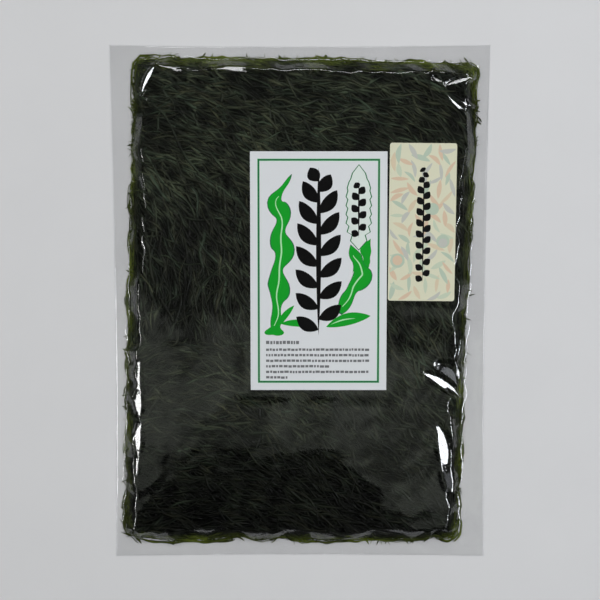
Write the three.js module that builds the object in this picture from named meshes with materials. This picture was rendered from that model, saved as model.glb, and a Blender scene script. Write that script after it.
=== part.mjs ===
// A clear film bag, sealed round one flat mat of dried, finely shredded kelp. It lies on its back,
// with a paper label and a narrower paper side label on its front.
// Millimetres. +X is right and +Y is up the front as it is read, and +Z points out of the front.
// The origin is at the middle of the underside.

import * as THREE from "three";

const { clamp, degToRad, lerp, smoothstep } = THREE.MathUtils;

// Bag
const BAG_WIDTH = 222;
const BAG_LENGTH = 304;
const BAG_HEIGHT = 7.2;
const LIP_HEIGHT = 0.8; // the two films lying on each other along the bag's edge
const SIDE_PULL_IN = 1.4; // how far the contents draw in the middle of each long edge
const END_PULL_IN = 0.9;
const GRID_PITCH = 5.3;

// Mat of kelp inside the bag, lying a little askew
const MAT_WIDTH = 199;
const MAT_LENGTH = 281;
const MAT_CENTRE = new THREE.Vector2(-1, -0.5);
const MAT_SIDE_LEAN = degToRad(2.0);
const MAT_TOP_SLOPE = degToRad(0.9);
const MAT_CORNER_RADIUS = 8;

// Film over the mat's edge
const SHOULDER_INSET = 7; // from the mat's outline in to where its front is level
const DRAPE_REACH = 6; // from the outline out to where the two films meet
const RIPPLE_HEIGHT = 0.5;
const RIPPLE_PITCH = 31;
const FOLD_HEIGHT = 1.3; // the ridge where the slack film gathers at each corner
const FOLD_HALF_WIDTH = 5;

// Uneven front of the mat
const HOLLOW_DEPTH = 0.6;
const HOLLOW_LENGTH = 74;
const HOLLOW_WIDTH = 47;

// Labels, stuck on the film
const PAPER_THICKNESS = 0.2;
const PAPER_GAP = 0.3;
const LEVEL_BORDER = 2; // level film round each label
const LEVEL_BLEND = 9;
const ROUND_CORNER_SEGMENTS = 4;

const LABELS = [
  {
    name: "front_label",
    width: 80,
    length: 140,
    cornerRadius: 0,
    centre: new THREE.Vector2(10.9, 20.2),
    turn: 0,
    color: 0xd9d7df,
    roughness: 0.6,
  },
  {
    name: "side_label",
    width: 39,
    length: 92,
    cornerRadius: 1.4,
    centre: new THREE.Vector2(71.4, 49),
    turn: degToRad(-0.5),
    color: 0xdadec4,
    roughness: 0.55,
  },
];

/** The distance from a rectangle with rounded corners round (0, 0), negative inside it. */
function roundedRectangleDistance(x, y, width, length, radius) {
  const pastSide = Math.abs(x) - width / 2 + radius;
  const pastEnd = Math.abs(y) - length / 2 + radius;
  const outside = Math.hypot(Math.max(pastSide, 0), Math.max(pastEnd, 0));
  return outside + Math.min(Math.max(pastSide, pastEnd), 0) - radius;
}

/** The distance from the mat's leaning outline, negative inside it. */
function matDistance(x, y) {
  const up = y - MAT_CENTRE.y;
  const across = x - MAT_CENTRE.x - up * Math.tan(MAT_SIDE_LEAN);
  const topShare = 0.5 + up / MAT_LENGTH;
  const levelUp = up + across * Math.tan(MAT_TOP_SLOPE) * topShare;
  return roundedRectangleDistance(across, levelUp, MAT_WIDTH, MAT_LENGTH, MAT_CORNER_RADIUS);
}

/** 1 under a label and just round it, falling to 0 away from it. */
function labelShare(x, y) {
  const shares = LABELS.map(({ width, length, cornerRadius, centre }) => {
    const away = roundedRectangleDistance(x - centre.x, y - centre.y, width, length, cornerRadius);
    return 1 - smoothstep(away, LEVEL_BORDER, LEVEL_BORDER + LEVEL_BLEND);
  });
  return Math.max(...shares);
}

/** How far the mat's front dips below its highest level. */
function hollow(x, y) {
  const wander = Math.sin((2 * Math.PI * y) / HOLLOW_LENGTH + x / HOLLOW_WIDTH);
  const wave = Math.sin((2 * Math.PI * x) / HOLLOW_WIDTH + wander);
  return HOLLOW_DEPTH * (0.5 + 0.25 * wave + 0.25 * wander) * (1 - labelShare(x, y));
}

/** A corner of the mat, drawn in to the shoulder of the film over it. */
function shoulderCorner(sideways, upwards) {
  const up = upwards * (MAT_LENGTH / 2 - SHOULDER_INSET);
  const across = sideways * (MAT_WIDTH / 2 - SHOULDER_INSET) + up * Math.tan(MAT_SIDE_LEAN);
  return new THREE.Vector2(across, up).add(MAT_CENTRE);
}

/** The ridge of slack film that runs from a corner of the mat to the same corner of the bag. */
function cornerFold(x, y, sideways, upwards) {
  const start = shoulderCorner(sideways, upwards);
  const run = new THREE.Vector2((sideways * BAG_WIDTH) / 2, (upwards * BAG_LENGTH) / 2).sub(start);
  const from = new THREE.Vector2(x, y).sub(start);
  const along = from.dot(run) / run.lengthSq();
  const aside = from.cross(run) / run.length();
  const rise = Math.sin(Math.PI * clamp(along, 0, 1));
  return FOLD_HEIGHT * rise * Math.exp(-((aside / FOLD_HALF_WIDTH) ** 2));
}

/** The height of the film's front over the underside. */
function frontHeight(x, y) {
  const climb = smoothstep(-matDistance(x, y), -DRAPE_REACH, SHOULDER_INSET);
  const onSlope = 4 * climb * (1 - climb);
  const ripple = RIPPLE_HEIGHT * onSlope * Math.sin((2 * Math.PI * (x + y)) / RIPPLE_PITCH);
  let folds = 0;
  for (const sideways of [-1, 1]) {
    for (const upwards of [-1, 1]) {
      folds += cornerFold(x, y, sideways, upwards);
    }
  }
  const height = lerp(LIP_HEIGHT, BAG_HEIGHT - hollow(x, y), climb) + ripple + folds;
  return Math.min(height, BAG_HEIGHT);
}

/** The bag with its contents, as one solid: a shaped front, a thin lip all round and a flat back. */
function bagGeometry() {
  const columns = Math.round(BAG_WIDTH / GRID_PITCH);
  const rows = Math.round(BAG_LENGTH / GRID_PITCH);
  const points = [];
  const triangles = [];

  const front = [];
  for (let row = 0; row <= rows; row += 1) {
    front.push([]);
    for (let column = 0; column <= columns; column += 1) {
      const u = (2 * column) / columns - 1;
      const v = (2 * row) / rows - 1;
      const x = u * (BAG_WIDTH / 2 - SIDE_PULL_IN * (1 - v * v));
      const y = v * (BAG_LENGTH / 2 - END_PULL_IN * (1 - u * u));
      front[row].push(points.length);
      points.push(new THREE.Vector3(x, y, frontHeight(x, y)));
    }
  }
  for (let row = 0; row < rows; row += 1) {
    for (let column = 0; column < columns; column += 1) {
      const [a, b] = [front[row][column], front[row][column + 1]];
      const [c, d] = [front[row + 1][column + 1], front[row + 1][column]];
      triangles.push(a, b, c, a, c, d);
    }
  }

  // The outline's points, anticlockwise as seen from the front, and the same points on the underside
  const outline = [
    ...front[0].slice(0, -1),
    ...front.slice(0, -1).map((row) => row[columns]),
    ...front[rows].slice(1).reverse(),
    ...front.slice(1).map((row) => row[0]).reverse(),
  ];
  const under = outline.map((index) => {
    points.push(points[index].clone().setZ(0));
    return points.length - 1;
  });
  const middle = points.push(new THREE.Vector3(0, 0, 0)) - 1;
  outline.forEach((top, index) => {
    const next = (index + 1) % outline.length;
    triangles.push(top, under[index], under[next]);
    triangles.push(top, under[next], outline[next]);
    triangles.push(middle, under[next], under[index]);
  });

  const geometry = new THREE.BufferGeometry().setFromPoints(points);
  geometry.setIndex(triangles);
  geometry.computeVertexNormals();
  return geometry;
}

/** A flat piece of paper with its back at height 0. */
function paperGeometry(width, length, cornerRadius) {
  if (cornerRadius === 0) {
    return new THREE.BoxGeometry(width, length, PAPER_THICKNESS).translate(0, 0, PAPER_THICKNESS / 2);
  }
  const quarter = Math.PI / 2;
  const arcX = width / 2 - cornerRadius;
  const arcY = length / 2 - cornerRadius;
  const outline = new THREE.Shape();
  outline.absarc(arcX, -arcY, cornerRadius, -quarter, 0);
  outline.absarc(arcX, arcY, cornerRadius, 0, quarter);
  outline.absarc(-arcX, arcY, cornerRadius, quarter, 2 * quarter);
  outline.absarc(-arcX, -arcY, cornerRadius, 2 * quarter, 3 * quarter);
  outline.closePath();
  return new THREE.ExtrudeGeometry(outline, {
    depth: PAPER_THICKNESS,
    bevelEnabled: false,
    curveSegments: ROUND_CORNER_SEGMENTS,
  });
}

const pack = new THREE.Group();

const bag = new THREE.Mesh(
  bagGeometry(),
  new THREE.MeshStandardMaterial({ color: 0x23261d, roughness: 0.3, metalness: 0 }),
);
bag.name = "filled_bag";
pack.add(bag);

for (const { name, width, length, cornerRadius, centre, turn, color, roughness } of LABELS) {
  const label = new THREE.Mesh(
    paperGeometry(width, length, cornerRadius),
    new THREE.MeshStandardMaterial({ color, roughness, metalness: 0 }),
  );
  label.name = name;
  label.position.set(centre.x, centre.y, BAG_HEIGHT + PAPER_GAP);
  label.rotation.z = turn;
  pack.add(label);
}

export default pack;
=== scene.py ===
"""A clear film bag, sealed round a flat mat of dried shredded kelp, with two paper labels, lying face up.

Shapes are worked out in millimetres in the part's own frame, and turned into metres as each mesh is made.
"""

import math
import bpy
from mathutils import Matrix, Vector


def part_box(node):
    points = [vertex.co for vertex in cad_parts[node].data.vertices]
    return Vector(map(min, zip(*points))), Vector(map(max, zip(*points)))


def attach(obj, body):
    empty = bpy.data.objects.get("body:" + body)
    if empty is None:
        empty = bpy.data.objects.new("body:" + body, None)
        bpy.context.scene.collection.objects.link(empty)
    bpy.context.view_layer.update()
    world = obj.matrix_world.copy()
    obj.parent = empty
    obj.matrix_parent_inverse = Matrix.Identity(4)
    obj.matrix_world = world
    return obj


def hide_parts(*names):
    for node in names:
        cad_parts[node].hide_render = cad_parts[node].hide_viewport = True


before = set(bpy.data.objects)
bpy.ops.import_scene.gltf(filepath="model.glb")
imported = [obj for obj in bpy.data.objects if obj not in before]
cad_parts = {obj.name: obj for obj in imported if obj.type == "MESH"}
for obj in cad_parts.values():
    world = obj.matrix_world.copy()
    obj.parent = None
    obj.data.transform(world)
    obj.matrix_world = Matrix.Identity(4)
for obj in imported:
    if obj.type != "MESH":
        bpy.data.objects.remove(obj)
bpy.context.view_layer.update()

from types import SimpleNamespace

import bpy
import numpy as np
from mathutils import Matrix, Vector
from mathutils.geometry import delaunay_2d_cdt

MM = 0.001
TURN = 2 * math.pi


def node_box(node):
    """A CAD node's middle and size, in mm."""
    low, high = (np.array(corner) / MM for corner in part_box(node))
    return SimpleNamespace(middle=(low + high) / 2, size=high - low)


bag = node_box("filled_bag")
front_box = node_box("front_label")
side_box = node_box("side_label")

# Bag, whose sides and ends are drawn in a little in their middle
SIDE_PULL_IN = 1.4
END_PULL_IN = 0.9
BACK_HEIGHT = 0.15
FRONT_HEIGHT = bag.size[2] - 0.15  # of the level film under the labels
THINNEST = 0.1  # of the closed film along its edge

# Mat of kelp, which lies a little askew: its sides lean, and its top edge slopes
MAT_WIDTH = 199
MAT_LENGTH = 283.5
MAT_X = -1
MAT_Y = 0.75
MAT_SIDE_LEAN = math.tan(math.radians(2.0))
MAT_TOP_SLOPE = math.tan(math.radians(0.9))
MAT_CORNER_RADIUS = 5

# Side label, whose box is wider than it is because it is turned a little
SIDE_WIDTH = 39
SIDE_LENGTH = 92
SIDE_CORNER = 1.4
SIDE_TURN = math.radians(-0.5)

# View
VIEW_DISTANCE = 700
VIEW_TILT = math.radians(4.7)
VIEW_TARGET = np.array([0, 3.5, 7])
VIEW_WIDTH = 352.3
SENSOR = 36
CAMERA = VIEW_TARGET + VIEW_DISTANCE * np.array([0, math.sin(VIEW_TILT), math.cos(VIEW_TILT)])


# -------- fields


def smoothstep(value, low, high):
    """0 up to low and 1 from high on, with a smooth step between them."""
    share = np.clip((value - low) / (high - low), 0, 1)
    return share * share * (3 - 2 * share)


def waves(seed, wavelength, height=1.0):
    """A smooth random field with ripples of about this length, mostly between -height and height."""
    random = np.random.default_rng(seed)
    count = 12
    ways = random.uniform(0, TURN, count)
    lengths = wavelength * random.uniform(0.7, 1.7, count)
    shifts = random.uniform(0, TURN, count)

    def field(x, y):
        total = 0
        for way, length, shift in zip(ways, lengths, shifts):
            total = total + np.sin(TURN * (x * math.cos(way) + y * math.sin(way)) / length + shift)
        return height * (total / math.sqrt(2 * count))

    return field


def bell(x, y, at_x, at_y, reach):
    """1 at a place, falling to 0 round it."""
    return np.exp(-((x - at_x) ** 2 + (y - at_y) ** 2) / (2 * reach**2))


def heading(degrees):
    """The x and y of a direction."""
    return math.cos(math.radians(degrees)), math.sin(math.radians(degrees))


def rounded_rectangle(x, y, width, length, radius):
    """The distance from a rectangle with rounded corners round (0, 0), negative inside it."""
    past_side = np.abs(x) - width / 2 + radius
    past_end = np.abs(y) - length / 2 + radius
    outside = np.hypot(np.maximum(past_side, 0), np.maximum(past_end, 0))
    return outside + np.minimum(np.maximum(past_side, past_end), 0) - radius


def mat_depth(x, y):
    """How far inside the mat's leaning outline a point is, negative outside it."""
    up = y - MAT_Y
    across = x - MAT_X - up * MAT_SIDE_LEAN
    level_up = up + across * MAT_TOP_SLOPE * (0.5 + up / MAT_LENGTH)
    return -rounded_rectangle(across, level_up, MAT_WIDTH, MAT_LENGTH, MAT_CORNER_RADIUS)


def from_mat(across, up):
    """The x and y of a place this far across and up the leaning mat from its middle."""
    x = across + MAT_X + up * MAT_SIDE_LEAN
    y = up + MAT_Y - across * MAT_TOP_SLOPE * (0.5 + up / MAT_LENGTH)
    return x, y


def inward(x, y):
    """The direction in which the mat gets deeper."""
    step = 0.5
    right = mat_depth(x + step, y) - mat_depth(x - step, y)
    up = mat_depth(x, y + step) - mat_depth(x, y - step)
    long = np.maximum(np.hypot(right, up), 1e-6)
    return right / long, up / long


def label_share(x, y):
    """1 under a label and just round it, falling to 0 away from it."""
    away = []
    for box in (front_box, side_box):
        away.append(rounded_rectangle(x - box.middle[0], y - box.middle[1], *box.size[:2], 0))
    return 1 - smoothstep(np.minimum(*away), 1, 12)


# -------- film

EDGE_LIFT = 0.4  # how far the closed film round the mat lifts off the floor
CLOSED_GAP = 0.3  # between the film's front and back beyond the mat
EDGE_GAP = 0.75  # how much wider it is over the mat's edge
FILM_DIP = 0.32  # how far the film away from the labels lies below its highest level
SHOULDER = (6.2, 5.2, 10.5)  # from the mat's edge in to where the film is level: usual, least, most
REACH = (0.9, 0.3, 2.2)  # from the mat's edge out to where the film comes down
CRIMP_SHIFT = 0.75  # how far wrinkles shift the film's slope
CRIMP_HEIGHT = 0.22

hollows = waves(11, 70, 0.16)
swells = waves(12, 24, 0.06)
puckers = waves(13, 9, 0.022)
shoulder_wander = waves(14, 26, 2.8)
reach_wander = waves(15, 31, 0.7)
edge_lift = waves(16, 34, 0.3)
edge_ripple = waves(17, 13, 0.07)
bend_wander = waves(20, 22)
side_crimp = waves(18, 8)
end_crimp = waves(19, 8)

# Facets in the taut film: x, y of the middle, the direction of the long axis, half length, half width,
# how far the middle bows aside, the direction the facet faces, its slope, how far its slope changes
# towards either end, and how far its edge is blended. Directions and slopes are in degrees.
FACETS = [
    (87.5, -40.5, -42, 8, 4.6, 0, 59, 15.8, 2, 5),
    (83.6, -46.8, -33, 13.5, 2.8, 1.3, 59, 20.3, 0, 1.4),
    (89.3, -51.4, -52, 4.6, 1.4, 0, 59, 6, 0, 0.5),
    (88.4, -103, -76, 10, 2.6, 0, 9, 8.3, 1.5, 3.5),
    (84.8, -84.5, -80, 13.5, 3.3, 0.5, 6, 13.1, 4.5, 2.5),
    (93.8, -27, 73, 6, 0.8, 0, -11, 12.6, 0, 0.9),
    (93.6, -41, 102, 9, 0.8, 0, -7, 12.5, 0, 0.9),
    (96, -75, 63, 5, 0.8, 1, 3, 12.4, 0, 0.9),
    (-95.6, -44, 90, 11, 0.9, 0, 178, 15.9, 3, 2),
    (-95.8, -58, 92, 7.5, 2.6, 0, 178, 15.9, 4.5, 1.6),
    (-96.2, -79, 88, 9.5, 2.1, 0, 174, 16.1, 4.5, 2),
    (-97.2, -96, 89, 7, 1.1, 0, 170, 16.3, 2, 1),
    (-38, 137.2, -4, 10, 2.2, 0.6, 82, 17.8, 1, 1),
    (-87.4, 132.3, 62, 11, 1.9, 0.8, -28, 25, 0, 0.6),
    (-76, 138.6, -9, 10, 1.4, 0, 74, 18.2, 1, 0.6),
    (92.7, 130.9, 16, 9, 1.7, 0, 109, 18.9, 1, 1.2),
    (79.9, 131.2, -34, 3.5, 1.3, 0, 100, 18.5, 0, 1),
    (90.8, 118.4, -36, 8, 1.4, -0.9, 35, 12.9, 0, 0.8),
    (96, 118.2, -20, 6, 1.0, -0.4, 36, 12.7, 0, 0.6),
]
FACET_SINK = 0.3  # how far the middle of each one lies below the film round it
HIGHEST_FACET = 0.45  # how far one may stand over FRONT_HEIGHT


def soft_ramp(share, rounding):
    """0 to 1 as share goes from 0 to 1, straight but for a short bend at each end."""
    foot = (share + rounding) ** 2 / (4 * rounding)
    shoulder = 1 - (1 + rounding - share) ** 2 / (4 * rounding)
    ramp = np.where(share < rounding, foot, np.where(share > 1 - rounding, shoulder, share))
    return np.where(share < -rounding, 0, np.where(share > 1 + rounding, 1, ramp))


def film_back(x, y):
    """The height of the film's back: level under the mat, and lifting a little round it."""
    clear = smoothstep(-mat_depth(x, y), 2, 13)
    lift = EDGE_LIFT + edge_lift(x, y) + edge_ripple(x, y)
    return BACK_HEIGHT + clear * np.clip(lift, 0, 1.2)


def facet(x, y, base, middle_x, middle_y, axis, half_length, half_width, bow, facing, slope, curl, blend):
    """The height of one facet, which bulges a little along its length, and where it is: 1 inside it."""
    cosine, sine = heading(axis)
    right, up = x - middle_x, y - middle_y
    along = (right * cosine + up * sine) / half_length
    aside = up * cosine - right * sine - bow * (1 - along**2)
    breadth = half_width * np.clip(1 - along**2, 0, 1)
    share = 1 - smoothstep(np.abs(aside), 0.8 * breadth, breadth + blend)
    share = share * (1 - smoothstep(np.abs(along), 0.9, 1 + 0.7 * blend / half_length))
    face_x, face_y = heading(facing)
    fall = math.tan(math.radians(slope)) * (right * face_x + up * face_y)
    bulge = math.tan(math.radians(curl)) * half_length / 2 * along**2
    return base - fall - bulge, share


def crimp(x, y, depth):
    """Short wrinkles that run across the mat's edge, from -1 to 1."""
    in_x, in_y = inward(x, y)
    return in_x**2 * side_crimp(depth / 4, y) + in_y**2 * end_crimp(x, depth / 4)


def plain_front(x, y, low):
    """The height of the film's front before its facets."""
    depth = mat_depth(x, y)
    free = 1 - label_share(x, y)
    dip = FILM_DIP + hollows(x, y) + swells(x, y) + puckers(x, y)
    top = FRONT_HEIGHT - free * dip
    shoulder = np.clip(SHOULDER[0] + shoulder_wander(x, y), *SHOULDER[1:])
    reach = np.clip(REACH[0] + reach_wander(x, y), *REACH[1:])
    crimps = crimp(x, y, depth)
    rounding = 0.035 + 0.06 * np.clip(bend_wander(x, y), 0, 1)
    climb = soft_ramp((depth + reach + CRIMP_SHIFT * crimps) / (shoulder + reach), rounding)
    height = low + (top - low) * climb
    rise = (height - low) / (top - low)
    on_slope = 4 * np.clip(rise, 0, 1) * np.clip(1 - rise, 0, 1)
    return height + CRIMP_HEIGHT * on_slope * crimps


def lowest_front(x, y):
    """How low the film's front may come: just over its back, and over the edge of the kelp."""
    return film_back(x, y) + CLOSED_GAP + EDGE_GAP * smoothstep(mat_depth(x, y), -11, -1)


def film_front(x, y):
    """The height of the film's front, with as many of its facets as have their height yet."""
    low = lowest_front(x, y)
    height = plain_front(x, y, low)
    for base, numbers in zip(facet_bases, FACETS):
        plane, share = facet(x, y, base, *numbers)
        height = height + (np.clip(plane, low, FRONT_HEIGHT + HIGHEST_FACET) - height) * share
    return height


facet_bases = []
for middle_x, middle_y, *_ in FACETS:
    facet_bases.append(film_front(np.array([middle_x]), np.array([middle_y]))[0] - FACET_SINK)


# -------- meshes


def add_object(name, data):
    """A new object in the scene, made of a mesh, a camera or a lamp."""
    thing = bpy.data.objects.new(name, data)
    bpy.context.scene.collection.objects.link(thing)
    return thing


def new_piece(name, points, faces, extra=None, smooth=True):
    """A mesh piece from points in mm. Its faces all have as many corners; so have the extra ones."""
    points = np.asarray(points, np.float32).reshape(-1, 3) * MM
    groups = [np.asarray(group, np.int32) for group in (faces, extra) if group is not None]
    corners = np.concatenate([group.ravel() for group in groups])
    sizes = np.concatenate([np.full(len(group), group.shape[1], np.int32) for group in groups])
    starts = np.concatenate([[0], np.cumsum(sizes)[:-1]]).astype(np.int32)
    mesh = bpy.data.meshes.new(name)
    mesh.vertices.add(len(points))
    mesh.vertices.foreach_set("co", points.ravel())
    mesh.loops.add(len(corners))
    mesh.loops.foreach_set("vertex_index", corners)
    mesh.polygons.add(len(sizes))
    mesh.polygons.foreach_set("loop_start", starts)
    mesh.polygons.foreach_set("use_smooth", np.full(len(sizes), smooth))
    mesh.update(calc_edges=True)
    return add_object(name, mesh)


def add_attribute(piece, name, values, kind="FLOAT", field="value", domain="POINT"):
    """Gives each point of a piece a number, or each point or corner a few."""
    attribute = piece.data.attributes.new(name, kind, domain)
    attribute.data.foreach_set(field, np.asarray(values, np.float32).ravel())


def grid_faces(index):
    """The quads between the points of a grid, given by their numbers in rows."""
    around = [index[:-1, :-1], index[:-1, 1:], index[1:, 1:], index[1:, :-1]]
    return np.stack(around, -1).reshape(-1, 4)


def closed_sheet(name, x, y, top, bottom):
    """A closed body between two grids of heights that share their outer points."""
    rows, columns = x.shape
    index = np.arange(rows * columns).reshape(rows, columns)
    under = index.copy()
    under[1:-1, 1:-1] = rows * columns + np.arange((rows - 2) * (columns - 2)).reshape(rows - 2, -1)
    front = np.stack([x, y, top], -1).reshape(-1, 3)
    back = np.stack([x, y, bottom], -1)[1:-1, 1:-1].reshape(-1, 3)
    quads = np.concatenate([grid_faces(index), grid_faces(under)[:, ::-1]])
    return new_piece(name, np.concatenate([front, back]), quads)


def grid_lines(length, bands, fine, coarse):
    """Places from -1 to 1 along a side, close together in some bands, given in mm from its middle."""
    marks = sorted({-length / 2, length / 2, *(mark for band in bands for mark in band)})
    places = []
    for low, high in zip(marks, marks[1:]):
        pitch = fine if any(band[0] <= low and high <= band[1] for band in bands) else coarse
        places.append(np.linspace(low, high, round((high - low) / pitch) + 1)[:-1])
    return 2 * np.append(np.concatenate(places), length / 2) / length


def make_film():
    """The bag's film, on a grid that is fine in the bands where its slopes and facets lie."""
    width, length = bag.size[:2]
    sides = [(-width / 2, -width / 2 + 32), (width / 2 - 38, width / 2)]
    ends = [(-length / 2, -length / 2 + 22), (-112, -24), (length / 2 - 40, length / 2)]
    u, v = np.meshgrid(grid_lines(width, sides, 0.65, 3), grid_lines(length, ends, 0.7, 1.9))
    x = u * (width / 2 - SIDE_PULL_IN * (1 - v * v))
    y = v * (length / 2 - END_PULL_IN * (1 - u * u))
    bottom = film_back(x, y)
    top = film_front(x, y)
    for edge in (np.s_[0, :], np.s_[-1, :], np.s_[:, 0], np.s_[:, -1]):
        top[edge] = bottom[edge] + THINNEST
    return closed_sheet("clear_film", x, y, top, bottom)


# -------- kelp

# Heights
KELP_CLEARANCE = 0.4  # from the film down to the middle of the highest strands
FILM_CLEARANCE = 0.1  # from the film down to what any strand reaches
CORE_DEPTH = 2.2  # from the highest strands down to the core
CORE_LIFT = 1.0  # from the film's back up to it
ROUND_OUTSIDE = 4  # the mat's top is rounded off from this far outside its edge
ROUND_BREADTH = 14
ROUND_FOOT = 0.42  # how high it begins, as a share of the pack's height

# Strands
STRAND_POINTS = 18  # along each strand
TIGHTEST_BEND = 3  # the least radius that a strand turns through
FACE_WIDTHS = [0.8, 1.2, 1.8, 2.5]
FACE_WIDTH_SHARES = [0.22, 0.34, 0.3, 0.14]
FACE_THICKNESS = 0.36
EDGE_THICKNESS = 0.24
STRAND_OFFSET = 7.3  # between one strand and the next in the material's noise
CORE_INSET = 5  # from the mat's edge in to the edge of the core

# Light and shade painted into the strands' tone
SHADE_DEPTH = 0.8  # how far below the highest kelp about a third of the light is left
SHADE_DEPTH_AT_EDGE = 2.2  # how much farther, where light comes in from the side
DIM_UP_TO = -115  # in y: the painted light on the strands is dimmest up to here and full from BRIGHT_FROM
BRIGHT_FROM = -25
MIDDLE_DIP = 0.45  # how much darker painted shade makes the middle of the mat's length
MIDDLE_DIP_Y = 5
MIDDLE_DIP_REACH = 50

# Edge
THIN_REACH = 4  # how far in the olive fringe reaches, and how much farther it does at the top
THIN_REACH_AT_TOP = 4.5
THIN_PLACE_X = -48  # where the top edge is thinnest, and how far that goes to either side
THIN_PLACE_SPREAD = 20
STRAY_REACH = 6  # how far the longest stray strands stand out of a loose corner
LEAVING_SHARE = 0.3  # of the edge's strands, the rest of which lie along it
SHORT_SHARE = 0.48
LOOPING_SHARE = 0.07
STRANDS_PER_ARC = 3

ragged_long = waves(31, 24, 0.9)
ragged_short = waves(33, 8, 0.7)
ragged_fine = waves(37, 3.5, 0.45)
core_relief = waves(32, 6)
locks = waves(34, 10)
patches = waves(35, 45)
thin_places = waves(36, 26)

# Corners where the mat has come loose, and stray strands stand out of it: x, y, reach and looseness.
LOOSE_CORNERS = [
    (-102, -138, 10, 1.0),
    (92, -141, 9, 0.8),
    (98, 134, 8, 0.6),
    (-35, -142, 22, 0.35),
    (98, 10, 30, 0.3),
    (-102, -115, 14, 0.4),
]


def looseness(x, y):
    """How loose the kelp is, from 0 where it is well pressed to about 1."""
    total = 0
    for at_x, at_y, reach, loose in LOOSE_CORNERS:
        total = total + loose * bell(x, y, at_x, at_y, reach)
    return np.minimum(total, 1)


def kelp_depth(x, y):
    """How far inside the ragged edge of the kelp a point is."""
    wander = ragged_long(x, y) + ragged_short(x, y) + ragged_fine(x, y)
    return mat_depth(x, y) + wander - 3 * looseness(x, y)


def fringe(x, y):
    """1 at the kelp's thin edge, where light comes through it, falling to 0 inside it."""
    top = smoothstep(y, 125, 140)
    thinnest = top * np.exp(-(((x - THIN_PLACE_X) / THIN_PLACE_SPREAD) ** 2))
    thin = np.maximum(smoothstep(thin_places(x, y), -0.5, 0.6), thinnest)
    breadth = THIN_REACH + THIN_REACH_AT_TOP * top * thin
    share = np.maximum(thin, 0.4 + 0.3 * top)
    return share * (1 - smoothstep(kelp_depth(x, y), -1.5, breadth))


def kelp_front(x, y):
    """The highest that kelp reaches: just under the film, and rounded off at the mat's edge."""
    inside = np.clip((mat_depth(x, y) + ROUND_OUTSIDE) / ROUND_BREADTH, 0, 1)
    round_off = FRONT_HEIGHT * (ROUND_FOOT + 0.6 * np.sqrt(inside))
    return np.minimum(film_front(x, y) - KELP_CLEARANCE, round_off)


def make_core():
    """The inside of the mat, which shows between the strands; its near-black colour is painted shade."""
    u, v = np.meshgrid(np.linspace(-1, 1, 90), np.linspace(-1, 1, 124))
    across = u * (MAT_WIDTH / 2 - CORE_INSET)
    up = v * (MAT_LENGTH / 2 - CORE_INSET)
    x, y = from_mat(across, up)
    top = kelp_front(x, y) - CORE_DEPTH + 0.45 * core_relief(x, y)
    bottom = BACK_HEIGHT + CORE_LIFT + 0.25 * core_relief(x + 50, y)
    middle = (top + bottom) / 2
    edge = smoothstep(mat_depth(x, y), CORE_INSET - 0.2, CORE_INSET + 3)
    top = middle + (top - middle) * edge
    bottom = middle + (bottom - middle) * edge
    return closed_sheet("kelp_core", x, y, top, bottom)


# How the strands lie: x, y and their direction in degrees.
FLOW = [
    (-72, 126, -12),
    (-14, 126, -18),
    (55, 118, -16),
    (92, 104, -50),
    (-82, 98, 20),
    (-47, 93, -35),
    (-86, 60, -70),
    (-47, 55, -42),
    (-72, 33, -50),
    (-47, 12, 88),
    (-78, 2, 80),
    (70, 0, -66),
    (68, -45, -52),
    (-72, -37, 4),
    (-33, -55, -25),
    (10, -70, -46),
    (55, -84, -30),
    (-62, -110, -8),
    (-4, -114, -26),
    (62, -122, -20),
]
FLOW_SPREAD = 27


def flow(x, y):
    """The direction in which strands lie, blended from FLOW. Opposite directions are the same."""
    right = np.zeros_like(x)
    up = np.zeros_like(x)
    for at_x, at_y, degrees in FLOW:
        weight = bell(x, y, at_x, at_y, FLOW_SPREAD) + 1e-6
        double_x, double_y = heading(2 * degrees)
        right += weight * double_x
        up += weight * double_y
    return np.arctan2(up, right) / 2


def respaced(steps_taken, last):
    """Paths cut off at their last step, with their points spread evenly over what is left."""
    share = np.linspace(0, 1, STRAND_POINTS)
    marks = np.arange(len(steps_taken))
    paths = np.stack(steps_taken, 1)
    return np.stack([np.interp(end * share, marks, path) for end, path in zip(last, paths)])


def steered(x, y, way, wanted, turns, keep_in):
    """The wanted direction, bent along the mat's edge near it and pushed inwards for strands that turn."""
    in_x, in_y = inward(x, y)
    along = np.where(in_x * np.sin(way) - in_y * np.cos(way) > 0, 1, -1)
    depth = kelp_depth(x, y)
    near = turns * (1 - smoothstep(depth, keep_in, keep_in + 6))
    hold = near * (np.cos(way) * in_x + np.sin(way) * in_y < 0.3)
    push = 0.6 * turns * (1 - smoothstep(depth, keep_in - 2, keep_in + 2))
    go_x = (1 - hold) * np.cos(wanted) - hold * along * in_y + push * in_x
    go_y = (1 - hold) * np.sin(wanted) + hold * along * in_x + push * in_y
    return np.arctan2(go_y, go_x)


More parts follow.
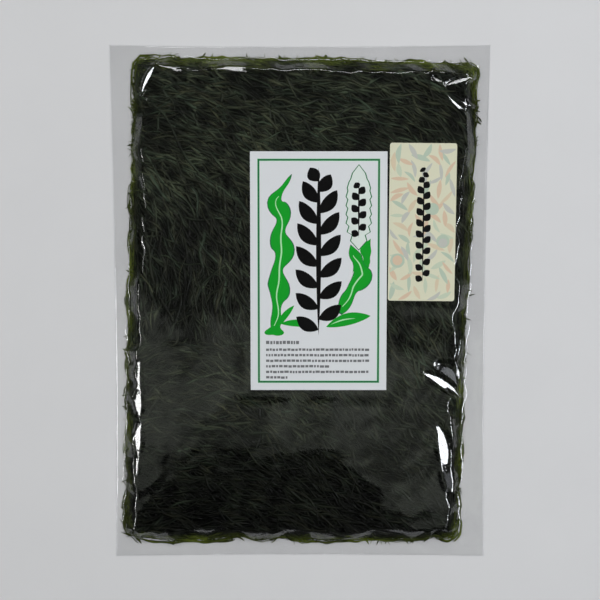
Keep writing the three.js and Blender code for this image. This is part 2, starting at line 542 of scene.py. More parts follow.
def trace(random, x, y, lengths, scatter):
    """Paths that follow the flow. Where they come to the mat's edge, a few turn along it and the others end.

    Returns the paths, and how long each one is.
    """
    count = len(x)
    fine_steps = (STRAND_POINTS - 1) * 4
    step = lengths / fine_steps
    sharpest = step / TIGHTEST_BEND
    path_x, path_y = [x], [y]
    lean = random.normal(0, scatter, count) * random.choice([1, 2.4], count, p=[0.85, 0.15])
    sway = random.uniform(0, TURN, count)
    pitch = random.uniform(18, 70, count)
    turns = random.uniform(0, 1, count) < 0.25
    keep_in = random.uniform(-1, 4, count)
    end_depth = np.minimum(random.uniform(-1.0, 2.5, count), kelp_depth(x, y) - 1)
    last = np.full(count, fine_steps)
    way = flow(x, y) + lean + np.pi * random.integers(0, 2, count)
    for number in range(1, fine_steps + 1):
        wanted = flow(x, y) + lean + 0.4 * np.sin(sway + TURN * number * step / pitch)
        wanted = wanted + np.pi * (np.cos(wanted - way) < 0)
        bend = (steered(x, y, way, wanted, turns, keep_in) - way + np.pi) % TURN - np.pi
        way = way + np.clip(bend, -sharpest, sharpest)
        x = x + np.cos(way) * step
        y = y + np.sin(way) * step
        path_x.append(x)
        path_y.append(y)
        ends_here = ~turns & (kelp_depth(x, y) < end_depth)
        last = np.where(ends_here, np.minimum(last, max(number, 3)), last)
    return respaced(path_x, last), respaced(path_y, last), lengths * last / fine_steps


def strand_points(x, y, z, width, thickness, roll):
    """The points of flat three-sided strands, which narrow at both ends and turn by roll."""
    centre = np.stack([x, y, z], -1)
    along = np.gradient(centre, axis=1)
    along /= np.maximum(np.linalg.norm(along, axis=2, keepdims=True), 1e-6)
    across = np.cross(np.array([0, 0, 1.0]), along)
    across /= np.maximum(np.linalg.norm(across, axis=2, keepdims=True), 1e-6)
    out = np.cross(along, across)
    turned = np.cos(roll)[..., None] * across + np.sin(roll)[..., None] * out
    out = np.cross(along, turned)
    share = np.linspace(0, 1, x.shape[1])[None]
    taper = np.minimum(1, 0.3 + 6 * np.minimum(share, 1 - share))
    aside = turned * (width * taper / 2)[..., None]
    up = out * (thickness * taper / 2)[..., None]
    return centre[:, :, None, :] + np.stack([-aside - up, up, aside - up], 2)


def strand_faces(index):
    """Quads along each strand, and the triangles that close its two ends."""
    after = np.roll(index, -1, axis=2)
    quads = np.stack([index[:, :-1], index[:, 1:], after[:, 1:], after[:, :-1]], -1).reshape(-1, 4)
    ends = np.concatenate([index[:, 0], index[:, -1, ::-1]])
    return quads, ends


def strand_tone_and_shade(random, x, y, z):
    """How light each strand is: its own random tone, with painted shade and painted light on it.

    Painted shade makes strands lighter near the film and darker the further down in the mat they lie. At the
    mat's edge light comes in from the side too, so less of it is lost further down. Painted shade also
    darkens strands in the hollows between locks, where they lie lower, while wide patches vary their tone.
    Painted light makes strands lighter towards the mat's top, and painted shade makes the middle of the
    mat's length a little darker than its ends.
    """
    own = 0.2 + 0.6 * random.uniform(0, 1, (len(x), 1)) ** 1.5
    open_side = 1 - smoothstep(kelp_depth(x, y), 0, 7)
    shade_depth = SHADE_DEPTH + SHADE_DEPTH_AT_EDGE * open_side
    shaded = np.exp(-np.maximum(kelp_front(x, y) - z, 0) / shade_depth)
    painted_light_to_top = 0.2 + 0.8 * smoothstep(y, DIM_UP_TO, BRIGHT_FROM)
    painted_mid_shade = 1 - MIDDLE_DIP * np.exp(-(((y - MIDDLE_DIP_Y) / MIDDLE_DIP_REACH) ** 2))
    # locks paint shade into the hollows between clumps of strands; patches are uneven tone
    uneven = np.clip(1 + 0.75 * locks(x, y) + 0.6 * patches(x, y), 0.2, 2.2)
    return own * shaded * (painted_light_to_top * painted_mid_shade) * uneven


def make_strands(name, random, x, y, z, width, thickness, roll, olive):
    """One piece of closed strands along the paths x, y, z, whose material reads a few numbers of each."""
    count, steps = x.shape
    points = strand_points(x, y, z, width, thickness, roll)
    ceiling = film_front(points[..., 0], points[..., 1]) - FILM_CLEARANCE
    points[..., 2] = np.clip(points[..., 2], BACK_HEIGHT, ceiling)
    index = np.arange(count * steps * 3).reshape(count, steps, 3)
    quads, ends = strand_faces(index)
    piece = new_piece(name, points, quads, extra=ends)
    everywhere = np.ones((count, steps, 3))
    step = np.hypot(np.diff(x, axis=1, prepend=x[:, :1]), np.diff(y, axis=1, prepend=y[:, :1]))
    along = np.cumsum(step, axis=1)[..., None] * everywhere
    aside = np.array([-0.5, 0, 0.5]) * width[..., None] * everywhere
    apart = STRAND_OFFSET * np.arange(count)[:, None, None] * everywhere
    add_attribute(piece, "strand", np.stack([along, aside, apart], -1), "FLOAT_VECTOR", "vector")
    add_attribute(piece, "tone_and_shade", strand_tone_and_shade(random, x, y, z)[..., None] * everywhere)
    add_attribute(piece, "olive", olive[..., None] * everywhere)
    return piece


def scattered_starts(random, count, least_depth):
    """Random places inside the mat, at least this deep."""
    x = random.uniform(-1, 1, count * 2) * (bag.size[0] / 2)
    y = random.uniform(-1, 1, count * 2) * (bag.size[1] / 2)
    inside = kelp_depth(x, y) > least_depth
    return x[inside][:count], y[inside][:count]


def wave_along(random, share, lengths, shortest, longest):
    """A wave along each strand, from -1 to 1, whose pitch differs from strand to strand."""
    pitch = random.uniform(shortest, longest, lengths.shape)
    return np.sin(TURN * (share * lengths / pitch + random.uniform(0, 1, lengths.shape)))


def make_face_strands(name, seed, count, lowest, highest, scatter):
    """Strands of the mat's face, between two heights measured from kelp_front."""
    random = np.random.default_rng(seed)
    x, y = scattered_starts(random, count, 0.5)
    count = len(x)
    x, y, lengths = trace(random, x, y, random.uniform(30, 125, count), scatter)
    share = np.linspace(0, 1, STRAND_POINTS)[None]
    lengths = lengths[:, None]
    ceiling = kelp_front(x, y)
    level = random.uniform(lowest, highest, (count, 1)) + 0.6 * wave_along(random, share, lengths, 12, 36)
    level = level + 0.6 * np.minimum(locks(x, y), 0.2)
    z = np.clip(ceiling + level, BACK_HEIGHT + 0.5, ceiling)
    width = random.choice(FACE_WIDTHS, (count, 1), p=FACE_WIDTH_SHARES) + 0 * x
    roll = 0.55 * wave_along(random, share, lengths, 25, 90) + random.normal(0, 0.25, (count, 1))
    olive = 0.85 * fringe(x, y) * random.uniform(0.2, 1, (count, 1))
    return make_strands(name, random, x, y, z, width, FACE_THICKNESS, roll, olive)


def outline_point(place):
    """Points on the mat's outline, for places from 0 to 1 round it, and the way round in mm."""
    radius = MAT_CORNER_RADIUS
    quarter = radius * math.pi / 2
    sides_away = [MAT_WIDTH / 2, MAT_LENGTH / 2] * 2
    straights = [MAT_LENGTH - 2 * radius, MAT_WIDTH - 2 * radius] * 2
    around = sum(straights) + 4 * quarter
    at = (place % 1) * around
    across, up = np.zeros_like(at), np.zeros_like(at)
    for number, (away, straight) in enumerate(zip(sides_away, straights)):
        angle = np.clip((at - straight) / radius, 0, math.pi / 2)
        out = away - radius + radius * np.cos(angle)
        on = np.minimum(at, straight) - straight / 2 + radius * np.sin(angle)
        here = (at >= 0) & (at < straight + quarter)
        side_x, side_y = heading(90 * number)
        across = np.where(here, out * side_x - on * side_y, across)
        up = np.where(here, out * side_y + on * side_x, up)
        at = at - straight - quarter
    return *from_mat(across, up), around


# Strands that stand well out of the mat's edge in a low arc: where each begins and ends, and its rise.
STRAY_ARCS = [
    (57, 141.4, 80, 138.6, 3.0),
    (59, 141.8, 76, 140.4, 1.7),
    (61, 141.0, 81, 138.2, 1.5),
    (-93, 138.0, -70, 140.2, 3.0),
    (-90, 139.4, -64, 140.6, 2.2),
    (-86, 139.8, -72, 140.4, 3.2),
    (-97, -141, -62, -141.5, -2.6),
    (-80, -141, -40, -141.8, -1.9),
    (-104, -116, -104.5, -138, -1.6),
    (84, -141.5, 96, -137, -3.4),
    (95.5, -128, 92.5, -143, 2.6),
    (99, 118, 100, 136, -2.0),
    (92, 139.5, 101, 133, 2.6),
]


def arc_paths(random, share):
    """Points along STRAY_ARCS, each of which is a few strands that part a little."""
    arcs = np.repeat(np.array(STRAY_ARCS, float), STRANDS_PER_ARC, 0)
    start_x, start_y, end_x, end_y, rise = arcs.T[..., None]
    right, up = end_x - start_x, end_y - start_y
    lengths = np.hypot(right, up)
    out = rise * np.sin(np.pi * share) ** 0.8 * random.uniform(0.7, 1.15, lengths.shape)
    out = out + 0.3 * wave_along(random, share, lengths, 6, 15)
    x = start_x + right * share - out * up / lengths + random.normal(0, 0.5, lengths.shape)
    y = start_y + up * share + out * right / lengths + random.normal(0, 0.3, lengths.shape)
    return x, y, lengths


def edge_paths(random, count, share):
    """How far along the mat's edge, and how deep inside it, each strand of the edge runs.

    Some leave it slowly, some are short and stick out of it, some lie along it, and a few stand out
    in a loop.
    """

    def draw(low, high):
        return random.uniform(low, high, (count, 1))

    kind = draw(0, 1)
    leaving = kind < LEAVING_SHARE
    short = ~leaving & (kind < LEAVING_SHARE + SHORT_SHARE)
    looping = kind > 1 - LOOPING_SHARE
    lengths = draw(20, 75)
    lengths = np.where(leaving, draw(10, 36), lengths)
    lengths = np.where(short, draw(2.5, 11), lengths)
    lying = draw(0.2, 5) + 1.3 * wave_along(random, share, lengths, 10, 34)
    start = draw(2, 9)
    end = 1.0 - np.where(short, 5.0, 2.8) * draw(0, 1) ** np.where(short, 2.2, 1)
    loose = start + (end - start) * share ** draw(0.8, 2.2)
    loop = 2.5 - draw(2.5, 5.0) * np.sin(np.pi * share) ** 0.8
    depth = np.where(leaving | short, loose, np.where(looping, loop, lying))
    ways = random.choice([-1, 1], (count, 1))
    return ways * (share - 0.5) * lengths, depth, lengths


def make_edge_strands(name, seed, count):
    """The olive fringe of the mat. Its bright olive is partly the kelp's own colour and partly painted light
    coming through the thin strands.
    """
    random = np.random.default_rng(seed)
    share = np.linspace(0, 1, STRAND_POINTS)[None]
    along, depth, lengths = edge_paths(random, count, share)
    _, _, around = outline_point(np.zeros(1))
    x, y, _ = outline_point(random.uniform(0, 1, (count, 1)) + along / around)
    in_x, in_y = inward(x, y)
    stray = looseness(x, y) * share**1.5 * random.uniform(0, 1, (count, 1)) ** 2
    depth = depth + mat_depth(x, y) - kelp_depth(x, y) - STRAY_REACH * stray
    arc_x, arc_y, arc_lengths = arc_paths(random, share)
    x = np.concatenate([x + in_x * depth, arc_x])
    y = np.concatenate([y + in_y * depth, arc_y])
    lengths = np.concatenate([lengths, arc_lengths])
    width = 0.3 + 0.9 * random.uniform(0, 1, (count, 1)) ** 1.5
    width = np.concatenate([width, random.uniform(0.7, 1.3, arc_lengths.shape)])
    count = len(x)
    low = film_back(x, y) + 0.25
    high = np.maximum(kelp_front(x, y), low)
    level = random.uniform(0, 1, (count, 1)) ** 0.6 + 0.12 * wave_along(random, share, lengths, 12, 40)
    z = low + (high - low) * np.clip(level, 0, 1)
    roll = random.normal(0, 0.3, (count, 1)) + 0.7 * wave_along(random, share, lengths, 15, 60)
    olive = fringe(x, y) * random.uniform(0.6, 1, (count, 1))
    return make_strands(name, random, x, y, z, width + 0 * x, EDGE_THICKNESS, roll, olive)


# -------- materials


class Shader:
    """The node tree of a material or a world, with short ways to add and join nodes."""

    def __init__(self, owner, output="OutputMaterial"):
        self.owner = owner
        owner.use_nodes = True
        self.tree = owner.node_tree
        self.tree.nodes.clear()
        self.output = self.node(output)

    def node(self, kind, **inputs):
        """A node of this kind, with a number, a colour or a link for each named input."""
        node = self.tree.nodes.new("ShaderNode" + kind)
        for name, value in inputs.items():
            self.put(node.inputs[name], value)
        return node

    def put(self, socket, value):
        """Links a socket to another, or sets it to a number or a colour."""
        if isinstance(value, bpy.types.NodeSocket):
            self.tree.links.new(value, socket)
        else:
            socket.default_value = value

    def operate(self, kind, operation, first, second):
        """What a node makes of two values."""
        node = self.node(kind)
        node.operation = operation
        self.put(node.inputs[0], first)
        self.put(node.inputs[1], second)
        return node.outputs[0]

    def math(self, operation, first, second):
        """What an arithmetic operation makes of two numbers."""
        return self.operate("Math", operation, first, second)

    def stretched(self, vector, scale):
        """A place, scaled along each axis."""
        return self.operate("VectorMath", "MULTIPLY", vector, scale)

    def spread(self, value, low, high, from_low=0.0, from_high=1.0):
        """A value that goes from low to high as another goes from from_low to from_high."""
        limits = {"From Min": from_low, "From Max": from_high, "To Min": low, "To Max": high}
        return self.node("MapRange", Value=value, **limits).outputs[0]

    def vary(self, noise, low, high):
        """A value that goes from low to high with a noise, over the range that the noise mostly keeps to."""
        return self.spread(noise, low, high, 0.3, 0.7)

    def mix(self, share, first, second):
        """A colour between two others."""
        node = self.node("Mix")
        node.data_type = "RGBA"
        self.put(node.inputs[0], share)
        self.put(node.inputs[6], colour(first))
        self.put(node.inputs[7], colour(second))
        return node.outputs[2]

    def noise(self, vector, scale, detail):
        """A smooth noise, which mostly keeps between 0.3 and 0.7."""
        return self.node("TexNoise", Vector=vector, Scale=scale, Detail=detail).outputs["Fac"]

    def attribute(self, name, output="Fac"):
        """What the mesh holds under a name."""
        node = self.node("Attribute")
        node.attribute_name = name
        return node.outputs[output]

    def place(self):
        """The place on the piece, in metres in the part's frame."""
        return self.node("TexCoord").outputs["Object"]

    def bump(self, height, distance):
        """The normal of a surface with this relief, whose full height is a distance in metres."""
        return self.node("Bump", Height=height, Distance=distance).outputs[0]

    def surface(self, base, roughness, specular, normal=None):
        """A surface whose colour and roughness may differ from place to place."""
        inputs = {"Base Color": base, "Roughness": roughness, "Specular IOR Level": specular}
        if normal is not None:
            inputs["Normal"] = normal
        return self.node("BsdfPrincipled", **inputs).outputs[0]

    def blend(self, share, first, second):
        """One shader where share is 0 and another where it is 1."""
        node = self.node("MixShader")
        for socket, value in zip(node.inputs, (share, first, second)):
            self.put(socket, value)
        return node.outputs[0]

    def finish(self, shader):
        """Puts a shader on the output, and returns the finished material or world."""
        self.tree.links.new(shader, self.output.inputs["Surface"])
        return self.owner


def colour(value):
    """A colour with its alpha. A socket stays as it is."""
    return (*value, 1) if isinstance(value, tuple) and len(value) == 3 else value


def kelp_material():
    """Dried kelp: greenish black and satin, and translucent olive where it lies thin at the edge.

    Its tone carries painted shade and light, darker stretches along each strand are painted shade where it
    dips under others, and the olive is partly painted light coming through the thin kelp.
    """
    shader = Shader(bpy.data.materials.new("kelp_strand"))
    strand = shader.attribute("strand", "Vector")
    tone_and_shade = shader.attribute("tone_and_shade")
    olive = shader.attribute("olive")
    streaks = shader.noise(shader.stretched(strand, (0.12, 1.6, 1.0)), 1.0, 3.0)
    # darker stretches along each strand: painted shade where it dips under others, as well as uneven tone
    blotches_and_dip_shade = shader.noise(shader.stretched(strand, (0.07, 0.1, 1.0)), 1.0, 2.0)
    own_hue = shader.noise(shader.stretched(strand, (0.004, 0.0, 1.3)), 1.0, 1.0)
    shade = shader.math("MULTIPLY", tone_and_shade, shader.vary(streaks, 0.6, 1.4))
    shade = shader.math("MULTIPLY", shade, shader.vary(blotches_and_dip_shade, 0.6, 1.35))
    hue = shader.spread(own_hue, 0.0, 1.0, 0.35, 0.65)
    light = shader.mix(hue, (0.064, 0.068, 0.036), (0.046, 0.069, 0.042))
    dark = shader.mix(shade, (0.0003, 0.0004, 0.0002), light)
    # olive of the thin edge: partly the kelp's own colour, partly painted light coming through it
    green = shader.mix(shader.vary(streaks, 0.0, 1.0), (0.07, 0.1, 0.01), (0.33, 0.42, 0.06))
    share = shader.math("MULTIPLY", olive, shader.vary(blotches_and_dip_shade, 0.35, 1.3))
    base = shader.mix(share, dark, green)
    roughness = shader.vary(streaks, 0.3, 0.6)
    surface = shader.surface(base, roughness, 0.22, shader.bump(streaks, 0.00012))
    glow = shader.mix(0.6, base, (0.34, 0.42, 0.06))
    through = shader.node("BsdfTranslucent", Color=glow).outputs[0]
    return shader.finish(shader.blend(shader.math("MULTIPLY", share, 0.5), surface, through))


def core_material():
    """The shaded inside of the mat, nearly black."""
    shader = Shader(bpy.data.materials.new("kelp_shade"))
    place = shader.place()
    grain = shader.noise(shader.stretched(place, (1.0, 2.2, 1.0)), 350.0, 4.0)
    base = shader.mix(grain, (0.0004, 0.0005, 0.0003), (0.003, 0.004, 0.002))
    surface = shader.surface(base, shader.spread(grain, 0.6, 0.85), 0.1, shader.bump(grain, 0.0006))
    return shader.finish(surface)


def film_material():
    """Clear glossy film: what is behind shows through, under a mirror that grows towards grazing."""
    shader = Shader(bpy.data.materials.new("clear_film"))
    place = shader.place()
    facing = shader.node("LayerWeight", Blend=0.5).outputs["Facing"]
    grazing = shader.math("POWER", facing, 4.0)
    mirror = shader.math("ADD", 0.085, shader.math("MULTIPLY", grazing, 0.8))
    smear = shader.noise(place, 34.0, 3.0)
    haze = shader.spread(smear, 0.0, 0.02, 0.45, 0.75)
    share = shader.math("MINIMUM", shader.math("ADD", mirror, haze), 0.95)
    roughness = shader.vary(smear, 0.025, 0.07)
    normal = shader.bump(shader.noise(place, 160.0, 2.0), 0.00002)
    gloss = shader.node("BsdfGlossy", Color=(0.97, 0.98, 1.0, 1.0), Roughness=roughness, Normal=normal)
    clear = shader.node("BsdfTransparent", Color=(0.985, 0.985, 0.985, 1.0))
    return shader.finish(shader.blend(share, clear.outputs[0], gloss.outputs[0]))


def paper_material(name, roughness, grain_scale):
    """Printed paper: the ink's colour is in the mesh, over a faint grain."""
    shader = Shader(bpy.data.materials.new(name))
    place = shader.place()
    grain = shader.noise(place, grain_scale, 4.0)
    cloud = shader.noise(place, 60.0, 2.0)
    ink = shader.attribute("ink", "Color")
    worn = shader.mix(shader.vary(grain, 0.0, 0.012), ink, (0.2, 0.2, 0.2))
    uneven = shader.vary(cloud, roughness - 0.06, roughness + 0.06)
    return shader.finish(shader.surface(worn, uneven, 0.12, shader.bump(grain, 0.00001)))


def floor_material():
    """A plain pale floor."""
    shader = Shader(bpy.data.materials.new("floor"))
    base = shader.mix(shader.noise(shader.place(), 25.0, 3.0), (0.67, 0.67, 0.675), (0.70, 0.70, 0.705))
    return shader.finish(shader.surface(base, 0.7, 0.2))


# -------- labels

WHITE = (0.69, 0.71, 0.725)
CREAM = (0.67, 0.665, 0.5)
BLACK = (0.002, 0.002, 0.002)
GREEN = (0.006, 0.33, 0.02)
DARK_GREEN = (0.012, 0.17, 0.05)
PALE_GREEN = (0.4, 0.78, 0.42)
LEAF_WHITE = (0.68, 0.75, 0.7)
PRINT_GREY = (0.16, 0.165, 0.17)
MINT = (0.5, 0.72, 0.56)

PAPER_THICKNESS = 0.2
PAPER_HEIGHT = FRONT_HEIGHT + 0.2
MESH_PITCH = 5  # between the points that are spread over the paper
paper_wave = waves(51, 90, 0.1)


def rectangle(x, y, width, length):
    """A rectangle's corners, round its middle."""
    signs = [(-1, -1), (1, -1), (1, 1), (-1, 1)]
    return [(x + right * width / 2, y + up * length / 2) for right, up in signs]


def rounded_outline(width, length, radius):
    """A rectangle with rounded corners round (0, 0)."""
    points = []
    for number, (sign_x, sign_y) in enumerate([(1, 1), (-1, 1), (-1, -1), (1, -1)]):
        for angle in np.linspace(number * math.pi / 2, (number + 1) * math.pi / 2, 6):
            x = sign_x * (width / 2 - radius) + radius * math.cos(angle)
            y = sign_y * (length / 2 - radius) + radius * math.sin(angle)
            points.append((x, y))
    return points


def circle(x, y, radius, points=26):
    """A circle's points, round its middle."""
    angles = np.linspace(0, TURN, points, endpoint=False)
    return np.stack([x + radius * np.cos(angles), y + radius * np.sin(angles)], -1)


def blot(x, y, width, length, seed):
    """A rounded, uneven spot of ink."""
    random = np.random.default_rng(seed)
    angles = np.linspace(0, TURN, 34, endpoint=False)
    size = np.ones(len(angles))
    for lobes in (2, 3, 5):
        size += 0.56 * random.uniform(0.4, 1) * np.sin(lobes * angles + random.uniform(0, TURN)) / lobes
    return np.stack([x + np.cos(angles) * size * width / 2, y + np.sin(angles) * size * length / 2], -1)


def lens(x, y, length, width, degrees, bow=0.0, points=12):
    """A pointed leaf, bowed to one side."""
    share = np.linspace(0, 1, points)
    half = width / 2 * np.sin(np.pi * share) ** 0.8
    middle = bow * np.sin(np.pi * share)
    along = (share - 0.5) * length
    right = np.concatenate([along, along[-2:0:-1]])
    up = np.concatenate([middle + half, (middle - half)[-2:0:-1]])
    cosine, sine = heading(degrees)
    return np.stack([x + right * cosine - up * sine, y + right * sine + up * cosine], -1)


def frond(x, y, width, length, pairs):
    """A stem with pointed leaves up both sides, in a box of this width and length."""
    leaf_width = 0.58 * length / pairs
    leaves = [lens(x, y - 0.04 * length, 0.92 * length, 0.1 * width, 90)]
    for number in range(2 * pairs - 1):
        side = 1 if number % 2 else -1
        share = (number + 0.5) / (2 * pairs)
        long = width * (0.5 + 0.1 * math.sin(math.pi * share)) * min(1, 0.35 + 2.6 * (1 - share))
        way = 90 - side * (60 - 30 * share)
        root = y - length / 2 + share * length * 0.93
        way_x, way_y = heading(way)
        middle_x = x + 0.5 * long * way_x
        middle_y = root + 0.5 * long * way_y
        leaves.append(lens(middle_x, middle_y, long, leaf_width, way, -0.06 * side * long, 10))
    return leaves


def spine(path, share):
    """Points on a smooth line through a path, and the way across it."""
    marks = np.linspace(0, 1, len(path))
    x = np.interp(share, marks, [point[0] for point in path])
    y = np.interp(share, marks, [point[1] for point in path])
    weights = np.array([1, 4, 6, 4, 1]) / 16
    x[2:-2] = np.convolve(x, weights, "valid")
    y[2:-2] = np.convolve(y, weights, "valid")
    across = np.stack([-np.gradient(y), np.gradient(x)], -1)
    across /= np.linalg.norm(across, axis=1, keepdims=True)
    return np.stack([x, y], -1), across


def ribbon(path, share, left, right):
    """A long shape along a path. Both of its edges are given by how far they lie to the path's left."""
    middle, across = spine(path, share)
    return np.concatenate([middle + across * left[:, None], (middle + across * right[:, None])[::-1]])


def blade(path, width, waves_along, wave_depth, start=0.0, end=1.0):
    """A long leaf along a path, from its root to its pointed tip, that widens and narrows in turn."""
    share = np.linspace(start, end, 60)
    swell = width / 2 * np.minimum(1, 0.3 + 3.2 * share) * np.clip((1 - share) * 3.5, 0, 1) ** 0.8
    left = swell * (1 + wave_depth * np.sin(TURN * waves_along * share))
    right = swell * (1 + wave_depth * np.sin(TURN * waves_along * share + 1.1))
    return np.delete(ribbon(path, share, left, -right), len(share), 0)


def rib(path, width, waves_along, sway, start, end):
    """A thin wavy line along a blade's path."""
    share = np.linspace(start, end, 40)
    off = sway * np.sin(TURN * waves_along * share + 1.0)
    half = width / 2 * np.sin(np.pi * np.linspace(0.06, 0.94, len(share))) ** 0.5
    return ribbon(path, share, off + half, off - half)


def jagged_leaf(x, y, width, length, grow=0.0):
    """A tall leaf with stepped edges, for a frame round a small frond."""
    teeth = 8
    right_side = []
    for tooth in range(teeth):
        share = (tooth + 0.5) / teeth
        half = (width / 2) * min(1, 0.45 + 2.4 * min(share, 1 - share)) + grow
        up = length * 0.42 - share * length * 0.84
        right_side.append((half - 0.5, up + 1.9))
        right_side.append((half + 0.5, up - 1.5))
    right_side = [(0, length / 2 + grow), *right_side, (0, -length / 2 - grow)]
    left_side = [(-a, b) for a, b in right_side[-2:0:-1]]
    return [(x + a, y + b) for a, b in right_side + left_side]


def text_rows(random, rows, left, top, pitch, height):
    """Rows of small grey marks of uneven length, in place of small print. Rows holds where each ends."""
    marks = []
    for number, right in enumerate(rows):
        x = left
        while x < right - 0.8:
            wide = min(random.uniform(0.9, 2.6), right - x)
            rise = random.uniform(-0.12, 0.12)
            marks.append((PRINT_GREY, rectangle(x + wide / 2, top - pitch * number + rise, wide, height)))
            x += wide + random.uniform(0.4, 0.6)
    return marks


def front_print():
    """What is printed on the front label, from the lowest layer up."""
    width, length = front_box.size[:2]
    twice_inset, line, halo = 9.8, 1.1, 0.5
    frame_layers = [
        (WHITE, 0),
        (MINT, twice_inset - line - halo),
        (DARK_GREEN, twice_inset - line),
        (MINT, twice_inset + line),
        (WHITE, twice_inset + line + halo),
    ]
    layers = [(ink, rectangle(0, 0, width - less, length - less)) for ink, less in frame_layers]
    left_path = [(-26.5, -36), (-24, -27), (-24.8, -17), (-22.8, -8), (-24.2, 2), (-20.4, 12), (-22.8, 22),
                 (-21.2, 32), (-25.5, 41), (-21, 49), (-15.5, 57)]
    right_path = [(12, -24.5), (17, -17), (20, -9), (26.4, -2), (23.5, 4), (21, 9), (18.7, 16)]
    fork_path = [(25, 0), (28.4, 6), (27.2, 12), (30.4, 19.3)]
    layers += [
        (DARK_GREEN, blade(left_path, 9.9, 4.1, 0.4)),
        (GREEN, blade(left_path, 8.8, 4.1, 0.4, 0.01, 0.98)),
        (PALE_GREEN, rib(left_path, 0.9, 4.1, 0.8, 0.04, 0.84)),
        (GREEN, blade(fork_path, 5.5, 1.6, 0.3)),
        (DARK_GREEN, blade(right_path, 9.2, 2.4, 0.35)),
        (GREEN, blade(right_path, 8.2, 2.4, 0.35, 0.02, 0.98)),
        (PALE_GREEN, rib(right_path, 0.9, 2.4, 0.6, 0.08, 0.85)),
        (GREEN, blot(-25.8, -35, 9.5, 6.5, 3)),
        (GREEN, lens(-19.5, -26.5, 17, 3.6, 52, 0.6)),
        (GREEN, lens(-12.5, -31.3, 20, 4.2, -4, 1.0)),
        (GREEN, lens(17.5, -29.3, 27, 7.2, 14, 1.4)),
        (PALE_GREEN, lens(14.5, -29.3, 15, 0.8, 14, 0.9)),
        (DARK_GREEN, jagged_leaf(23.4, 37.5, 13.2, 49, 0.65)),
        (LEAF_WHITE, jagged_leaf(23.4, 37.5, 13.2, 49)),
    ]
    layers += [(BLACK, leaf) for leaf in frond(0, 16, 30, 107, 8)]
    layers += [(BLACK, leaf) for leaf in frond(23.4, 38, 9.5, 37, 5)]
    random = np.random.default_rng(7)
    layers += text_rows(random, [-11.5], -30.9, -41.8, 1, 1.9)
    layers += text_rows(random, [30.1, 30.6, 30.1, 6.4, 30.1, -18.3], -30.9, -46.0, 3.3, 1.4)
    return layers


# Inks of the side label's scattered leaves
FAINT_INKS = [
    (0.45, 0.54, 0.43),
    (0.65, 0.5, 0.36),
    (0.5, 0.51, 0.46),
    (0.53, 0.6, 0.46),
    (0.65, 0.55, 0.39),
]


def side_print():
    """What is printed on the side label: faint leaves and dots, and a dark frond."""
    random = np.random.default_rng(8)
    room = np.array([SIDE_WIDTH, SIDE_LENGTH]) / 2 - 0.5
    layers = [(CREAM, rounded_outline(SIDE_WIDTH, SIDE_LENGTH, SIDE_CORNER))]
    for row in range(16):
        for column in range(5):
            x = (column - 2) * 7.6 + random.uniform(-1.6, 1.6) + 3 * (row % 2) - 1.5
            y = (row - 7.5) * 5.6 + random.uniform(-1.5, 1.5)
            ink = FAINT_INKS[random.integers(len(FAINT_INKS))]
            long, wide, bow = random.uniform(8, 12), random.uniform(2, 3.2), random.uniform(-1.2, 1.2)
            leaf = lens(x, y, long, wide, random.uniform(0, 180), bow, 8)
            leaf = leaf + np.maximum(-room - leaf.min(0), 0) + np.minimum(room - leaf.max(0), 0)
            layers.append((ink, leaf))
    for x, y, radius in ((6, 7.8, 3.5), (12.2, -11, 3.9), (-14.2, -22.5, 4.2)):
        layers.append((FAINT_INKS[0], circle(x, y, radius)))
    layers.append((FAINT_INKS[2], circle(12.2, -11.8, 2.6)))
    layers.append((FAINT_INKS[1], circle(-14.2, -22.3, 2.9)))
    layers += [(BLACK, leaf) for leaf in frond(0.6, 2, 9.5, 75, 11)]
    return layers


def signed_area(shape):
    """The area of an outline, negative if it runs clockwise."""
    x, y = np.array(shape).T
    return float(np.sum(x * np.roll(y, -1) - y * np.roll(x, -1))) / 2


def cut_paper(layers):
    """Flat triangles that follow the print: their points, their corners and the ink of each."""
    outline = layers[0][1]
    points = []
    shapes = []
    for _, shape in layers:
        shapes.append(list(range(len(points), len(points) + len(shape))))
        points += [tuple(p) for p in (shape if signed_area(shape) > 0 else shape[::-1])]
    low, high = np.min(outline, 0), np.max(outline, 0)
    for x in np.arange(low[0] + MESH_PITCH, high[0] - MESH_PITCH / 2, MESH_PITCH):
        for y in np.arange(low[1] + MESH_PITCH, high[1] - MESH_PITCH / 2, MESH_PITCH):
            points.append((float(x), float(y)))
    made = delaunay_2d_cdt([Vector(p) for p in points], [], shapes, 1, 1e-4, True)
    flat, triangles, owners = np.array(made[0]), np.array(made[2]), made[5]
    return flat, triangles, np.array([colour(layers[max(owner)][0]) for owner in owners])


def paper_walls(triangles, count):
    """The triangles that join the front's rim to the back's, whose points come count later."""
    edges = np.concatenate([triangles[:, [0, 1]], triangles[:, [1, 2]], triangles[:, [2, 0]]])
    keys = {tuple(edge) for edge in edges.tolist()}
    begin, end = np.array([edge for edge in keys if edge[::-1] not in keys]).T
    upper = np.stack([end, begin, begin + count], -1)
    lower = np.stack([end, begin + count, end + count], -1)
    return np.concatenate([upper, lower])


